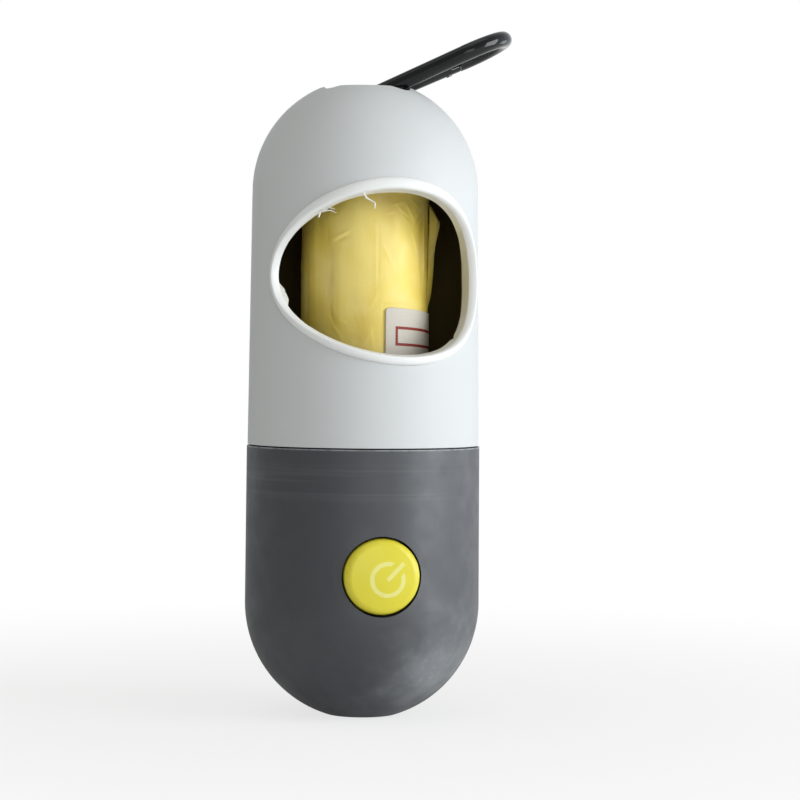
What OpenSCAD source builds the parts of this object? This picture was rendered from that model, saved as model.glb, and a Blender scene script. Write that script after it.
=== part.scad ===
// Dog waste bag dispenser with a torch in its lower half.
// Origin at the centre of the torch's front face, which is the flat that it stands on.
// +Z up, -Y to the front, where the mouth and the power button are, +X to the right.

/* [Lower shell] */
// Diameter of the capsule at the seam
capsule_d = 46.1; // [44:0.1:50]
// How much wider the lower shell is at its middle
lower_bulge = 0.3; // [0:0.1:1]
// Height of the seam above the base
seam_z = 53.1; // [50:0.1:60]
// Wall of both shells
wall = 1.8; // [1.4:0.1:2.2]
// Height of the neck above the seam
neck_h = 7.0; // [5:0.5:10]
// Depth of the ledge in the neck below the neck's top
ledge_depth = 2.1; // [1.8:0.1:3]
// Width of that ledge
ledge_w = 1.8; // [1.2:0.1:2.4]

/* [Upper shell] */
// How much narrower the upper shell is at the seam than the capsule
upper_step = 0.3; // [0:0.1:0.8]
// How much narrower the upper shell is where its dome begins
dome_taper = 1.5; // [0.6:0.1:3]
// Height of the upper shell from the seam to its dome
straight_h = 50; // [46:0.2:54]
// Height of the cap of the dome that the flat on top takes away
top_cut = 2.1; // [1.9:0.1:3]
// Thickness of the flat on top
top_wall = 2.2; // [1.8:0.1:2.6]
// Gap between the shells at the seam
seam_gap = 0.3; // [0.2:0.05:0.6]
// Width of the seal ring in the seam
ring_w = 1.5; // [1:0.1:1.6]

/* [Mouth] */
// Middle of the mouth along the wall, to the right of the front
mouth_x = -1; // [-3:0.1:3]
// Height of the middle of the mouth above the seam
mouth_rise = 33.4; // [31:0.1:36]
// Half the width of the mouth, along the wall
mouth_a = 23.5; // [21:0.1:24.5]
// Half the height of the mouth
mouth_b = 15.8; // [12:0.1:16.5]
// How much blunter the right end is than the left
mouth_egg = 0.26; // [0:0.01:0.4]
// Shift of both ends to the right, which flattens the right end
mouth_skew = 1; // [0:0.1:1.5]
// Drop of both ends
mouth_droop = 0.6; // [0:0.1:1.5]
// Tilt of the mouth, down to the right
mouth_tilt = 2; // [0:0.5:6]
// Width of the lip on the shell, at the bottom of the mouth
lip_out = 1.1; // [0.8:0.1:1.6]
// How much wider the lip is at the top of the mouth
lip_top = 0.6; // [0:0.1:1]
// Thickness of the lip inside the mouth
lip_in = 0.7; // [0.5:0.05:1]
// Height of the lip above the shell
lip_h = 1; // [0.6:0.05:1.3]
// Reach of the lip past the wall's inside
lip_reach = 0.4; // [0.2:0.05:0.8]

/* [Roll of bags] */
// Diameter of the roll
roll_d = 25.4; // [24:0.2:30]
// Width of the bags, which is the roll's height
roll_h = 54; // [50:0.5:55]
// Outer diameter of the card core
core_d = 12; // [10:0.5:16]
// Wall of the card core
core_wall = 0.8; // [0.5:0.1:1.5]
// Height of the paper label
label_h = 20; // [15:0.5:30]
// Thickness of the paper label
label_t = 0.15; // [0.1:0.05:0.3]
// Angle from the front to the label's left edge
label_turn = 9; // [0:1:30]
// Angle that the label goes round the roll
label_sweep = 96; // [60:1:140]

/* [Button and switch] */
// Depth of the button's middle below the seam
button_drop = 24.1; // [23:0.1:26]
// Diameter of the button
button_d = 14.6; // [13:0.2:15.6]
// Gap round the button
button_gap = 0.4; // [0.3:0.05:0.6]
// How far the middle of the button stands out of the shell
button_proud = 1.0; // [0.6:0.1:1.6]
// Radius of the button's crowned face
button_crown_r = 32; // [26:1:60]
// Rounding of the button's edge
button_round = 1.6; // [0.8:0.1:2]
// Travel of the button
button_travel = 1.2; // [0.6:0.1:1.4]
// Wall of the tube that guides the button
guide_wall = 1.6; // [1.2:0.1:2]
// Length of the guide inside the shell
guide_l = 6.4; // [5:0.1:7]
// Width of the switch
switch_w = 8; // [6:0.5:9]
// Depth of the switch
switch_l = 7.8; // [7:0.1:8.4]
// Diameter of the switch's plunger
plunger_d = 3; // [2:0.1:4]

/* [Torch] */
// Outer diameter of the bezel, which is the foot that it stands on
bezel_d = 14; // [13:0.1:15]
// Clear diameter of the lens
lens_d = 11.5; // [10:0.1:11.8]
// Width of the lens's step
lens_step = 0.75; // [0.5:0.05:0.8]
// Thickness of the lens
lens_t = 2.6; // [2:0.1:3]
// Height of the tube that holds the lens, the reflector and the board
seat_h = 12; // [11:0.5:13]
// Diameter of the light-emitting diode
led_d = 5; // [3:0.5:5]
// Depth of the frame's deck below the seam
deck_drop = 13.1; // [12:0.1:14]
// Thickness of the deck
deck_t = 1.6; // [1.2:0.1:2]
// Half the spacing of the frame's screws, left to right
screw_x = 13.5; // [13:0.1:14]
// Half the spacing of the frame's screws, front to back
screw_y = 8; // [7:0.1:8.4]
// Diameter of the screws
screw_d = 2.4; // [2:0.1:2.6]
// Length of the frame's screws
frame_screw_l = 9; // [6:0.5:11]
// Length of the cover's screw
cover_screw_l = 8; // [6:0.5:9]

/* [Cells] */
// Diameter of a button cell
cell_d = 11.6; // [9:0.1:12]
// Thickness of a button cell
cell_t = 5.4; // [5:0.1:5.4]
// Distance from the neck's inside to the cells' middle
cell_inset = 10.2; // [9.6:0.1:10.6]
// Thickness of the battery cover
cover_t = 2; // [1.8:0.1:2.1]

/* [Snap hook] */
// Length of the snap hook
hook_l = 39.5; // [37:0.5:42]
// Diameter of the hook's rod
hook_wire = 3.2; // [2.8:0.1:3.4]
// Radius of the hook's narrow bow, to the middle of the rod
bow_small_r = 4.2; // [4:0.1:4.6]
// Radius of the hook's wide bow, to the middle of the rod
bow_large_r = 7.6; // [6.4:0.1:7.8]
// Angle at which the hook lies
hook_lie = 24.3; // [22:0.1:30]
// Angle from the front to the bar that holds the hook
hook_turn = -10.6; // [-14:0.1:0]
// Diameter of the bar that the hook hangs on
bar_d = 3; // [2.4:0.1:3.2]
// Reach of the two holes to the left of the middle
slot_left = 8; // [7.8:0.1:8.4]
// Reach of the two holes to the right of the middle
slot_right = 8.7; // [8.6:0.1:9.4]
// Half the width over both holes
slot_half_w = 8.1; // [7.8:0.1:8.4]
// Rounding of the holes' corners
slot_round = 2; // [1.6:0.1:2.4]
// Distance of the gate's hinge from the narrow bow
gate_hinge = 6; // [5.6:0.1:7]
// Length of the gate past its hinge
gate_l = 17.1; // [15:0.1:17.2]
// Diameter of the gate's rivet
rivet_d = 1.2; // [1:0.1:1.4]

/* [Fits] */
// Clearance between the neck and the upper shell
neck_fit = 0.2; // [0.1:0.05:0.3]
// How much thinner the upper shell's wall is round the neck
neck_relief = 0.1; // [0:0.05:0.3]
// Clearance between parts that lie loosely beside each other
loose_fit = 0.3; // [0.2:0.05:0.4]
// Clearance of a part that drops into its seat
seat_fit = 0.15; // [0.1:0.05:0.2]
// Running clearance of pins
pin_fit = 0.05; // [0.02:0.01:0.08]

/* [Hidden] */
$fn = 96;

big = 100;
over = 1;
dome_z = seam_z + seam_gap + straight_h;
mouth_z = seam_z + mouth_rise;
button_z = seam_z - button_drop;
deck_z = seam_z - deck_drop;
lower_d = capsule_d + lower_bulge;
lower_seam_d = capsule_d;
upper_seam_d = capsule_d - upper_step;
dome_d = capsule_d - dome_taper;
bore_r = upper_seam_d / 2 - wall + neck_relief;
neck_d = 2 * (bore_r - neck_fit);
top_z = dome_z + dome_d / 2 - top_cut;
lower_r = lower_d / 2;
seat_r = bezel_d / 2 + seat_fit;
lower_cz = sqrt(lower_r * lower_r - bezel_d * bezel_d / 4);
neck_top = seam_z + neck_h;
neck_in_r = neck_d / 2 - wall;
ledge_z = neck_top - ledge_depth;
upper_z = seam_z + seam_gap;
dome_r = dome_d / 2;
ceiling_z = top_z - top_wall;
cover_z = ledge_z;
floor_z = cover_z + cover_t;
roll_z = floor_z + loose_fit;
button_r = button_d / 2;
hole_r = button_r + button_gap;
guide_r = hole_r + guide_wall;
seat_wall = 2.05;
guide_y = -lower_r + wall + guide_l;
switch_back_y = -0.5;
switch_y = switch_back_y - switch_l;
plunger_out = 3.2;
plunger_y = switch_y - plunger_out;
board_t = 1.2;
board_z = seat_h;
frame_z = board_z + board_t;
rib_t = 1.8;
tube_z = deck_z - 2;
tube_floor = 1.2;
tube_wall = 1.2;
screw_hole_l = 12;
contact_t = 0.3;
cell_z = tube_z + tube_floor + contact_t;
cells_top = cell_z + 3 * cell_t;
cell_y = neck_in_r - cell_inset;
cover_screw_y = -neck_in_r + 7.2;
boss_r = 3;
head_d = 5.2;
head_h = 1.6;
cover_head_d = 4.4;
screw_play = 0.4;
wire_hole_r = 1.1;
foot_h = 3;
cover_sink = 0.8;

// ---------- the capsule's solids ----------

// Half outline of the lower shell, revolved
module lower_outline() {
    intersection() {
        translate([0, lower_cz]) circle(r = lower_r);
        square([lower_r, lower_cz]);
    }
    polygon([[0, lower_cz], [lower_r, lower_cz], [lower_seam_d / 2, seam_z], [0, seam_z]]);
}

// Half outline of the lower shell's hollow, with the ledge that carries the battery cover
module lower_hollow_outline() {
    shoulder_z = seam_z - 2 * wall;
    intersection() {
        translate([0, lower_cz]) circle(r = lower_r - wall);
        translate([0, lower_cz - lower_r]) square([lower_r, lower_r]);
    }
    polygon([[0, lower_cz], [lower_r - wall, lower_cz],
        [lower_seam_d / 2 - wall, shoulder_z - wall],
        [neck_in_r, shoulder_z + wall / 2],
        [neck_in_r, ledge_z - 2 * ledge_w], [neck_in_r - ledge_w, ledge_z - ledge_w],
        [neck_in_r - ledge_w, ledge_z], [neck_in_r, ledge_z],
        [neck_in_r, neck_top + 1], [0, neck_top + 1]]);
}

// Half outline of the upper shell
module upper_outline() {
    polygon([[0, upper_z], [upper_seam_d / 2, upper_z], [dome_r, dome_z], [0, dome_z]]);
    intersection() {
        translate([0, dome_z]) circle(r = dome_r);
        translate([0, dome_z]) square([dome_r, top_z - dome_z]);
    }
}

// Half outline of the compartment for the roll
module upper_hollow_outline() {
    polygon([[0, upper_z - 1], [bore_r, upper_z - 1], [bore_r, neck_top + 1],
        [dome_r - wall, dome_z], [0, dome_z]]);
    intersection() {
        translate([0, dome_z]) circle(r = dome_r - wall);
        translate([0, dome_z]) square([dome_r, ceiling_z - dome_z]);
    }
}

module upper_solid() { rotate_extrude() upper_outline(); }
module lower_solid() { rotate_extrude() lower_outline(); }

// ---------- the mouth, an egg wrapped round the upper shell ----------

mouth_steps = 72;
mouth_ref_r = (upper_seam_d + dome_d) / 4;

// Middle line of the lip, unrolled: along the wall to the right, and up
function egg(t) =
    let (u = mouth_a * cos(t) + mouth_skew * cos(2 * t),
        v = mouth_b * sin(t) * (1 + mouth_egg * cos(t)) - mouth_droop * cos(2 * t))
    [mouth_x + u * cos(mouth_tilt) + v * sin(mouth_tilt),
        mouth_z - u * sin(mouth_tilt) + v * cos(mouth_tilt)];

// Unit vector from the lip's middle line towards the middle of the mouth
function egg_inward(t) =
    let (d = egg(t + 1) - egg(t - 1)) [-d[1], d[0]] / norm(d);

// Point of the upper shell that lies off outside its surface
function on_shell(p, off) =
    let (turn = p[0] / mouth_ref_r * 180 / PI,
        rise = max(0, p[1] - dome_z) / dome_r * 180 / PI,
        r_low = dome_r + (upper_seam_d / 2 - dome_r) * (dome_z - p[1]) / (dome_z - upper_z),
        r = p[1] > dome_z ? (dome_r + off) * cos(rise) : r_low + off,
        z = p[1] > dome_z ? dome_z + (dome_r + off) * sin(rise) : p[1])
    [r * sin(turn), -r * cos(turn), z];

// Edge of the mouth, which is cut straight from the front, and the way to the mouth's middle
function cut_edge(t) = on_shell(egg(t), 0);
function cut_inward(t) =
    let (d = cut_edge(t + 1) - cut_edge(t - 1)) [-d[2], 0, d[0]] / norm([d[0], d[2]]);

// Length of the cut through the slanting wall, in walls
function cut_walls(t) =
    let (p = cut_edge(t), r = norm([p[0], p[1]]) - wall)
    max(1, (-p[1] - sqrt(max(0, r * r - p[0] * p[0]))) / wall);

// Point of the lip: on the shell where in is negative, and along the cut where off is
function lip_point(t, in, off) = in < 0 ? on_shell(egg(t) + egg_inward(t) * in, off)
    : on_shell(egg(t), max(off, 0)) + cut_inward(t) * in - [0, min(off, 0) * cut_walls(t), 0];

// Closed ring of sections joined by triangles: rows sections of cols points each
function ring_faces(rows, cols) = [for (i = [0:rows - 1], j = [0:cols - 1], k = [0:1])
    let (a = i * cols + j, b = i * cols + (j + 1) % cols,
        c = ((i + 1) % rows) * cols + (j + 1) % cols, d = ((i + 1) % rows) * cols + j)
    k == 0 ? [a, b, c] : [a, c, d]];

// Section of the lip: towards the mouth's middle, and out of the shell
function lip_section(t) =
    let (out = lip_out + lip_top * pow(max(0, sin(t)), 2), gap = seat_fit / 2,
        deep = -wall - lip_reach)
    [[-out, gap], [-0.88 * out, 0.6 * lip_h], [-0.5 * out, 0.93 * lip_h], [0, lip_h],
        [0.5 * lip_in, 0.9 * lip_h], [0.88 * lip_in, 0.5 * lip_h], [lip_in, 0],
        [1.4 * lip_in, deep], [gap, deep], [gap, gap]];

// Solid that cuts the mouth out of the upper shell, straight from the front
module mouth_cutter() {
    rotate([90, 0, 0]) linear_extrude(big)
        polygon([for (i = [0:mouth_steps - 1])
            let (p = cut_edge(360 * i / mouth_steps)) [p[0], p[2]]]);
}

// ---------- helpers ----------

// Tube along a list of points; side is a list of vectors that set the sections' turn
module tube_along(path, r, sides, side) {
    n = len(path);
    dirs = [for (i = [0:n - 1])
        let (d = path[min(n - 1, i + 1)] - path[max(0, i - 1)]) d / norm(d)];
    across = [for (i = [0:n - 1]) let (s = side[i] - dirs[i] * (side[i] * dirs[i])) s / norm(s)];
    points = [for (i = [0:n - 1], j = [0:sides - 1])
        path[i] + r * (across[i] * cos(360 * j / sides)
            + cross(dirs[i], across[i]) * sin(360 * j / sides))];
    walls = [for (i = [0:n - 2], j = [0:sides - 1], k = [0:1])
        let (a = i * sides + j, b = i * sides + (j + 1) % sides)
        k == 0 ? [a, a + sides, b + sides] : [a, b + sides, b]];
    ends = [[for (j = [0:sides - 1]) j], [for (j = [sides - 1:-1:0]) (n - 1) * sides + j]];
    polyhedron(points, concat(walls, ends), convexity = 6);
}

// Rectangle with round corners from the left, the right and half the width
module slot_outline() {
    w = slot_half_w - slot_round;
    l = slot_left - slot_round;
    r = slot_right - slot_round;
    translate([-slot_left, -w]) square([slot_left + slot_right, 2 * w]);
    translate([-l, -slot_half_w]) square([l + r, 2 * slot_half_w]);
    for (x = [-l, r], y = [-w, w]) translate([x, y]) circle(r = slot_round);
}

// Cylinder that runs to the back from the height of the button
module at_button(y) { translate([0, y, button_z]) rotate([-90, 0, 0]) children(); }

module at_frame_screws() {
    for (x = [-screw_x, screw_x], y = [-screw_y, screw_y]) translate([x, y, 0]) children();
}

// ---------- torch half ----------

module lower_bosses() {
    translate([0, 0, -over]) cylinder(r = seat_r + seat_wall, h = seat_h + over);
    at_frame_screws() cylinder(r = boss_r, h = deck_z);
    at_button(-lower_r) cylinder(r = guide_r, h = guide_y + lower_r);
}

module lower_shell() {
    color([0.36, 0.37, 0.39]) difference() {
        union() {
            difference() {
                union() {
                    lower_solid();
                    translate([0, 0, seam_z - wall]) cylinder(d = neck_d, h = neck_h + wall);
                }
                rotate_extrude() lower_hollow_outline();
            }
            intersection() {
                lower_solid();
                lower_bosses();
            }
        }
        translate([0, 0, -over]) cylinder(r = seat_r, h = seat_h + 2 * over);
        at_button(-lower_r - over) cylinder(r = hole_r, h = guide_y + lower_r + 2 * over);
        at_frame_screws() translate([0, 0, deck_z - screw_hole_l])
            cylinder(d = screw_d + 2 * pin_fit, h = screw_hole_l + over);
    }
}

module torch_frame() {
    cell_r = cell_d / 2 + loose_fit;
    foot_r = seat_r + guide_wall;
    color([0.16, 0.16, 0.17]) difference() {
        union() {
            translate([0, 0, deck_z]) cylinder(r = lower_seam_d / 2 - wall - loose_fit, h = deck_t);
            translate([0, cell_y, tube_z]) cylinder(r = cell_r + tube_wall, h = cells_top - tube_z + over);
            translate([0, cover_screw_y, deck_z]) cylinder(r = boss_r, h = cover_z - deck_z);
            translate([-foot_r + over, switch_back_y, frame_z])
                cube([2 * (foot_r - over), rib_t, deck_z - frame_z]);
            translate([0, 0, frame_z]) difference() {
                cylinder(r = foot_r, h = foot_h);
                translate([0, 0, -over]) cylinder(r = foot_r - guide_wall, h = foot_h + 2 * over);
            }
        }
        translate([0, cell_y, tube_z + tube_floor]) cylinder(r = cell_r, h = big);
        translate([0, cell_y, tube_z - over]) cylinder(r = wire_hole_r, h = tube_floor + 2 * over);
        at_frame_screws() translate([0, 0, deck_z - over])
            cylinder(d = screw_d + screw_play, h = deck_t + 2 * over);
        translate([0, cover_screw_y, cover_z - cover_screw_l - over])
            cylinder(d = screw_d + 2 * pin_fit, h = cover_screw_l + 2 * over);
    }
}

// Pan-head screw that stands on z = 0 with its shank below
module pan_screw(shank_l, wide, high) {
    tip = screw_d / 6;
    socket = screw_d * 3 / 8;
    rotate_extrude() polygon([[0, -shank_l], [screw_d / 2 - tip, -shank_l],
        [screw_d / 2, -shank_l + 2 * tip], [screw_d / 2, 0], [wide / 2, 0],
        [wide / 2, high * 0.55], [wide / 2 - tip, high], [socket, high],
        [socket, high * 0.6], [0, high * 0.6]]);
}

module frame_screws() {
    color("silver") at_frame_screws() translate([0, 0, deck_z + deck_t])
        pan_screw(frame_screw_l, head_d, head_h);
}

// Half outline of the button from the tip of its crown at 0 back to its flange
module button_outline() {
    length = guide_y + lower_r + button_proud;
    flange_r = hole_r + 0.8;
    stem_end = plunger_y + lower_r + button_proud - seat_fit;
    // The rounding runs smoothly into the crown and into the button's side
    round_x = button_r - button_round;
    round_y = button_crown_r - sqrt(pow(button_crown_r - button_round, 2) - round_x * round_x);
    crown_x = round_x * button_crown_r / (button_crown_r - button_round);
    difference() {
        union() {
            intersection() {
                translate([0, button_crown_r]) circle(r = button_crown_r, $fn = 360);
                union() {
                    square([crown_x, length]);
                    translate([0, round_y]) square([button_r, length - round_y]);
                    translate([round_x, round_y]) circle(r = button_round, $fn = 120);
                }
            }
            translate([0, length + loose_fit]) square([flange_r, 1]);
            translate([0, length - 1]) square([button_r, 1 + loose_fit + 0.5]);
            square_stem = plunger_d / 2 + 0.5;
            translate([0, length - 1]) square([square_stem, stem_end - length + 1]);
        }
        translate([plunger_d / 2 + 0.5, 3]) square([button_r - plunger_d / 2 - 1.8, length]);
    }
}

module power_button() {
    color([0.88, 0.83, 0.25]) at_button(-lower_r - button_proud) rotate_extrude() button_outline();
}

module switch_body() {
    bore_l = button_travel + plunger_out;
    color([0.1, 0.1, 0.1]) difference() {
        translate([-switch_w / 2, switch_y, button_z - switch_w / 2])
            cube([switch_w, switch_l, switch_w]);
        at_button(switch_y - 1) cylinder(d = plunger_d + 2 * pin_fit, h = bore_l + 1);
    }
}

module switch_plunger() {
    color("white") at_button(plunger_y) cylinder(d = plunger_d, h = 2 * plunger_out - 0.6);
}

module led_board() {
    color([0.1, 0.35, 0.2]) translate([0, 0, board_z]) cylinder(r = seat_r + guide_wall, h = board_t);
}

module led() {
    body_r = led_d / 2;
    body_l = 5.5;
    color([0.95, 0.95, 0.9]) translate([0, 0, board_z]) rotate([180, 0, 0]) rotate_extrude() {
        square([body_r + 0.4, 1]);
        square([body_r, body_l]);
        intersection() {
            translate([0, body_l]) circle(r = body_r);
            translate([0, body_l]) square([body_r, body_r]);
        }
    }
}

module reflector() {
    top_z = board_z - 0.5;
    low_r = seat_r - seat_fit;
    throat = led_d / 2 + 0.6;
    open_r = low_r - 0.8;
    steps = 12;
    inner = [for (i = [0:steps]) let (f = i / steps)
        [throat + (open_r - throat) * sqrt(f), top_z - (top_z - lens_t) * f]];
    color([0.85, 0.86, 0.88]) rotate_extrude() polygon(concat(inner,
        [[low_r, lens_t], [low_r, lens_t + 1.4], [low_r - 0.4, lens_t + 1.4],
            [low_r - 0.4, lens_t + 4], [throat + 1, top_z]]));
}

module lens() {
    color([0.85, 0.9, 0.95, 0.5]) {
        cylinder(r = lens_d / 2, h = lens_t - 0.1);
        translate([0, 0, 1]) cylinder(r = lens_d / 2 + lens_step, h = lens_t - 1.1);
    }
}

module lens_bezel() {
    gap = seat_fit / 2;
    color([0.2, 0.2, 0.21]) rotate_extrude() polygon([[lens_d / 2 + gap, 0],
        [bezel_d / 2 - 0.3, 0], [bezel_d / 2, 0.3], [bezel_d / 2, lens_t - 0.05],
        [lens_d / 2 + lens_step + gap, lens_t - 0.05], [lens_d / 2 + lens_step + gap, 1 - gap / 2],
        [lens_d / 2 + gap, 1 - gap / 2]]);
}

// Button cell: a steel can with the smaller cap of its other pole on top
module button_cell(i) {
    r = cell_d / 2;
    color([0.75, 0.76, 0.78]) translate([0, cell_y, cell_z + i * cell_t]) rotate_extrude()
        polygon([[0, 0], [r - 0.3, 0], [r, 0.3], [r, cell_t - 0.9], [r - 0.4, cell_t - 0.6],
            [r - 0.9, cell_t - 0.6], [r - 1.1, cell_t], [0, cell_t]]);
}

module button_cell_1() { button_cell(0); }
module button_cell_2() { button_cell(1); }
module button_cell_3() { button_cell(2); }

spring_wire_r = 0.25;
spring_turns = 2.5;
spring_steps = 16;
spring_low_r = 4.4;
spring_high_r = 2.4;

module cell_spring() {
    low = cells_top + spring_wire_r + pin_fit / 2;
    high = cover_z - spring_wire_r - pin_fit / 2;
    last = spring_turns * spring_steps;
    turn = [for (i = [0:last]) 360 * i / spring_steps];
    path = [for (i = [0:last]) let (f = i / last, r = spring_low_r + (spring_high_r - spring_low_r) * f)
        [r * cos(turn[i]), cell_y + r * sin(turn[i]), low + (high - low) * f]];
    color("silver") tube_along(path, spring_wire_r, 6, [for (a = turn) [cos(a), sin(a), 0]]);
}

module cell_contact() {
    color([0.8, 0.65, 0.3]) translate([0, cell_y, 0]) {
        translate([0, 0, cell_z - contact_t]) cylinder(r = cell_d / 2 - 0.8, h = contact_t);
        translate([0, 0, tube_z - contact_tail])
            cylinder(r = wire_hole_r - pin_fit, h = tube_floor + contact_tail + contact_t / 3);
    }
}

module battery_cover() {
    color([0.2, 0.2, 0.21]) difference() {
        translate([0, 0, cover_z]) cylinder(r = neck_in_r - loose_fit, h = cover_t);
        translate([0, cover_screw_y, cover_z - over])
            cylinder(d = screw_d + screw_play, h = cover_t + 2 * over);
        translate([0, cover_screw_y, cover_z + cover_sink])
            cylinder(d = cover_head_d + 2 * screw_play, h = cover_t);
    }
}

module cover_screw() {
    color("silver") translate([0, cover_screw_y, cover_z + cover_sink])
        pan_screw(cover_screw_l, cover_head_d, cover_t - cover_sink - pin_fit);
}

wire_r = 0.55;
contact_tail = 0.4;
switch_low = button_z - switch_w / 2;
red_route = [[3, -3, frame_z], [3, -3, frame_z + 1.4], [3.3, -3.6, frame_z + 3.8],
    [3.1, -4.3, frame_z + 6.3], [2.3, -4.6, switch_low - 3], [1.8, -4.4, switch_low - 1.2],
    [1.8, -4.4, switch_low]];
black_route = [[-3.2, 4, frame_z], [-3.2, 4, frame_z + 1.6], [-3.8, 5.2, frame_z + 4.3],
    [-4, 6.6, frame_z + 7.3], [-3.4, cell_y - 1.2, tube_z - 14], [-2.2, cell_y - 0.4, tube_z - 10.5],
    [-0.9, cell_y, tube_z - 7], [-0.1, cell_y, tube_z - 3.5], [0, cell_y, tube_z - 1.7],
    [0, cell_y, tube_z - contact_tail]];

module wire(route) { tube_along(route, wire_r, 8, [for (p = route) [1, 0, 0]]); }
module wire_red() { color("red") wire(red_route); }
module wire_black() { color([0.08, 0.08, 0.08]) wire(black_route); }

// ---------- bag half ----------

module seam_ring() {
    gap = seam_gap / 10;
    color([0.05, 0.05, 0.05]) rotate_extrude()
        translate([neck_d / 2 + pin_fit, seam_z + gap]) square([ring_w, seam_gap - 2 * gap]);
}

module upper_shell() {
    color([0.80, 0.81, 0.82]) {
        difference() {
            upper_solid();
            rotate_extrude() upper_hollow_outline();
            mouth_cutter();
            rotate([0, 0, hook_turn]) translate([0, 0, ceiling_z - 2])
                linear_extrude(top_wall + 4) slot_outline();
        }
        intersection() {
            upper_solid();
            rotate([0, 0, hook_turn]) translate([-slot_left - 2.4, 0, top_z - bar_d / 2])
                rotate([0, 90, 0]) cylinder(d = bar_d, h = slot_left + slot_right + 4.8);
        }
    }
}

module mouth_rim() {
    cols = len(lip_section(0));
    points = [for (i = [0:mouth_steps - 1]) let (t = 360 * i / mouth_steps)
        for (p = lip_section(t)) lip_point(t, p[0], p[1])];
    color([0.94, 0.95, 0.95]) polyhedron(points, ring_faces(mouth_steps, cols), convexity = 8);
}

module roll_core() {
    color([0.72, 0.6, 0.45]) translate([0, 0, roll_z]) difference() {
        cylinder(d = core_d, h = roll_h);
        translate([0, 0, -1]) cylinder(d = core_d - 2 * core_wall, h = roll_h + 2);
    }
}

module bag_film() {
    color([0.86, 0.78, 0.38]) translate([0, 0, roll_z]) difference() {
        cylinder(d = roll_d, h = roll_h);
        translate([0, 0, -1]) cylinder(d = core_d + 2 * pin_fit, h = roll_h + 2);
    }
}

module roll_label() {
    color([0.9, 0.87, 0.82]) rotate([0, 0, label_turn - 90]) rotate_extrude(angle = label_sweep)
        translate([roll_d / 2 + 0.02, roll_z + 0.5]) square([label_t, label_h]);
}

// ---------- snap hook, drawn along +X from the middle of its narrow bow's rod ----------

hook_r = hook_wire / 2;
hook_axis_l = hook_l - hook_wire;
bow_gap = hook_axis_l - bow_small_r - bow_large_r;
hook_flare = asin((bow_large_r - bow_small_r) / bow_gap);
side_l = bow_gap * cos(hook_flare);
bar_rest = 0.3;
pivot_x = -(slot_left - hook_r - 0.45);
pivot_z = top_z - bar_d - bar_rest - hook_r;
nose_gap = 0.3;
nose_at = gate_hinge + gate_l + nose_gap;
latch_at = gate_hinge + gate_l - 2.5;
tongue_t = 1.2;
rod_step = 0.02;
into_bow = 0.3;

module at_hook() {
    rotate([0, 0, hook_turn]) translate([pivot_x, 0, pivot_z]) rotate([0, -hook_lie, 0]) children();
}

// Along the straight side that the gate closes, from the end of the narrow bow
module at_gate_side() {
    translate([bow_small_r * (1 - sin(hook_flare)), bow_small_r * cos(hook_flare), 0])
        rotate([0, 0, hook_flare]) children();
}

// Straight rod, a hair thinner than the bows that its ends reach into
module rod(from, to) {
    translate([from, 0, 0]) rotate([0, 90, 0]) cylinder(r = hook_r - rod_step, h = to - from);
}

module bow(r, sweep) {
    rotate([0, 0, -sweep / 2]) rotate_extrude(angle = sweep) translate([r, 0]) circle(r = hook_r, $fn = 48);
}

module carabiner_frame() {
    color([0.14, 0.15, 0.16]) at_hook() difference() {
        union() {
            translate([bow_small_r, 0, 0]) rotate([0, 0, 180]) bow(bow_small_r, 180 - 2 * hook_flare);
            translate([hook_axis_l - bow_large_r, 0, 0]) bow(bow_large_r, 180 + 2 * hook_flare);
            mirror([0, 1, 0]) at_gate_side() rod(-into_bow, side_l + into_bow);
            at_gate_side() {
                rod(-into_bow, gate_hinge - 2.1);
                translate([gate_hinge - 2.6, -1.3, -tongue_t / 2]) cube([4, 2.6, tongue_t]);
                rod(nose_at, side_l + into_bow);
                translate([latch_at + 1, -0.8, -tongue_t / 2])
                    cube([nose_at - latch_at - 0.5, 1.6, tongue_t]);
            }
        }
        at_gate_side() translate([gate_hinge, 0, -big / 2])
            cylinder(d = rivet_d + 2 * pin_fit, h = big);
    }
}

module carabiner_gate() {
    slot_t = tongue_t + 2 * seat_fit;
    color([0.14, 0.15, 0.16]) at_hook() at_gate_side() difference() {
        translate([gate_hinge - 1.5, 0, 0]) rotate([0, 90, 0]) cylinder(r = hook_r - 0.1, h = gate_l + 1.5);
        translate([gate_hinge - 3, -big / 2, -slot_t / 2]) cube([5.1, big, slot_t]);
        translate([latch_at + 0.7, -big / 2, -slot_t / 2]) cube([big, big, slot_t]);
        translate([gate_hinge, 0, -big / 2]) cylinder(d = rivet_d + 2 * pin_fit, h = big);
        translate([latch_at, 0, -big / 2]) cylinder(d = rivet_d + 0.04, h = big);
    }
}

module gate_rivet() {
    color("silver") at_hook() at_gate_side() translate([gate_hinge, 0, 0]) {
        cylinder(d = rivet_d, h = hook_wire, center = true);
        for (z = [-hook_r - 0.2, hook_r - 0.05]) translate([0, 0, z]) cylinder(d = rivet_d + 0.7, h = 0.25);
    }
}

module latch_pin() {
    color("silver") at_hook() at_gate_side() translate([latch_at, 0, 0])
        cylinder(d = rivet_d, h = hook_wire + 0.2, center = true);
}

lower_shell();
torch_frame();
frame_screws();
power_button();
switch_body();
switch_plunger();
led_board();
led();
reflector();
lens();
lens_bezel();
button_cell_1();
button_cell_2();
button_cell_3();
cell_spring();
cell_contact();
battery_cover();
cover_screw();
wire_red();
wire_black();
seam_ring();
upper_shell();
mouth_rim();
roll_core();
bag_film();
roll_label();
carabiner_frame();
carabiner_gate();
gate_rivet();
latch_pin();
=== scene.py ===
"""Dog waste bag dispenser: the finishes, the mouth's lip, the roll of bags with its label, and the stage,
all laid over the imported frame. Lengths in the pieces' own tables are millimetres, and metres in Blender."""

import math
import random

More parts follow.
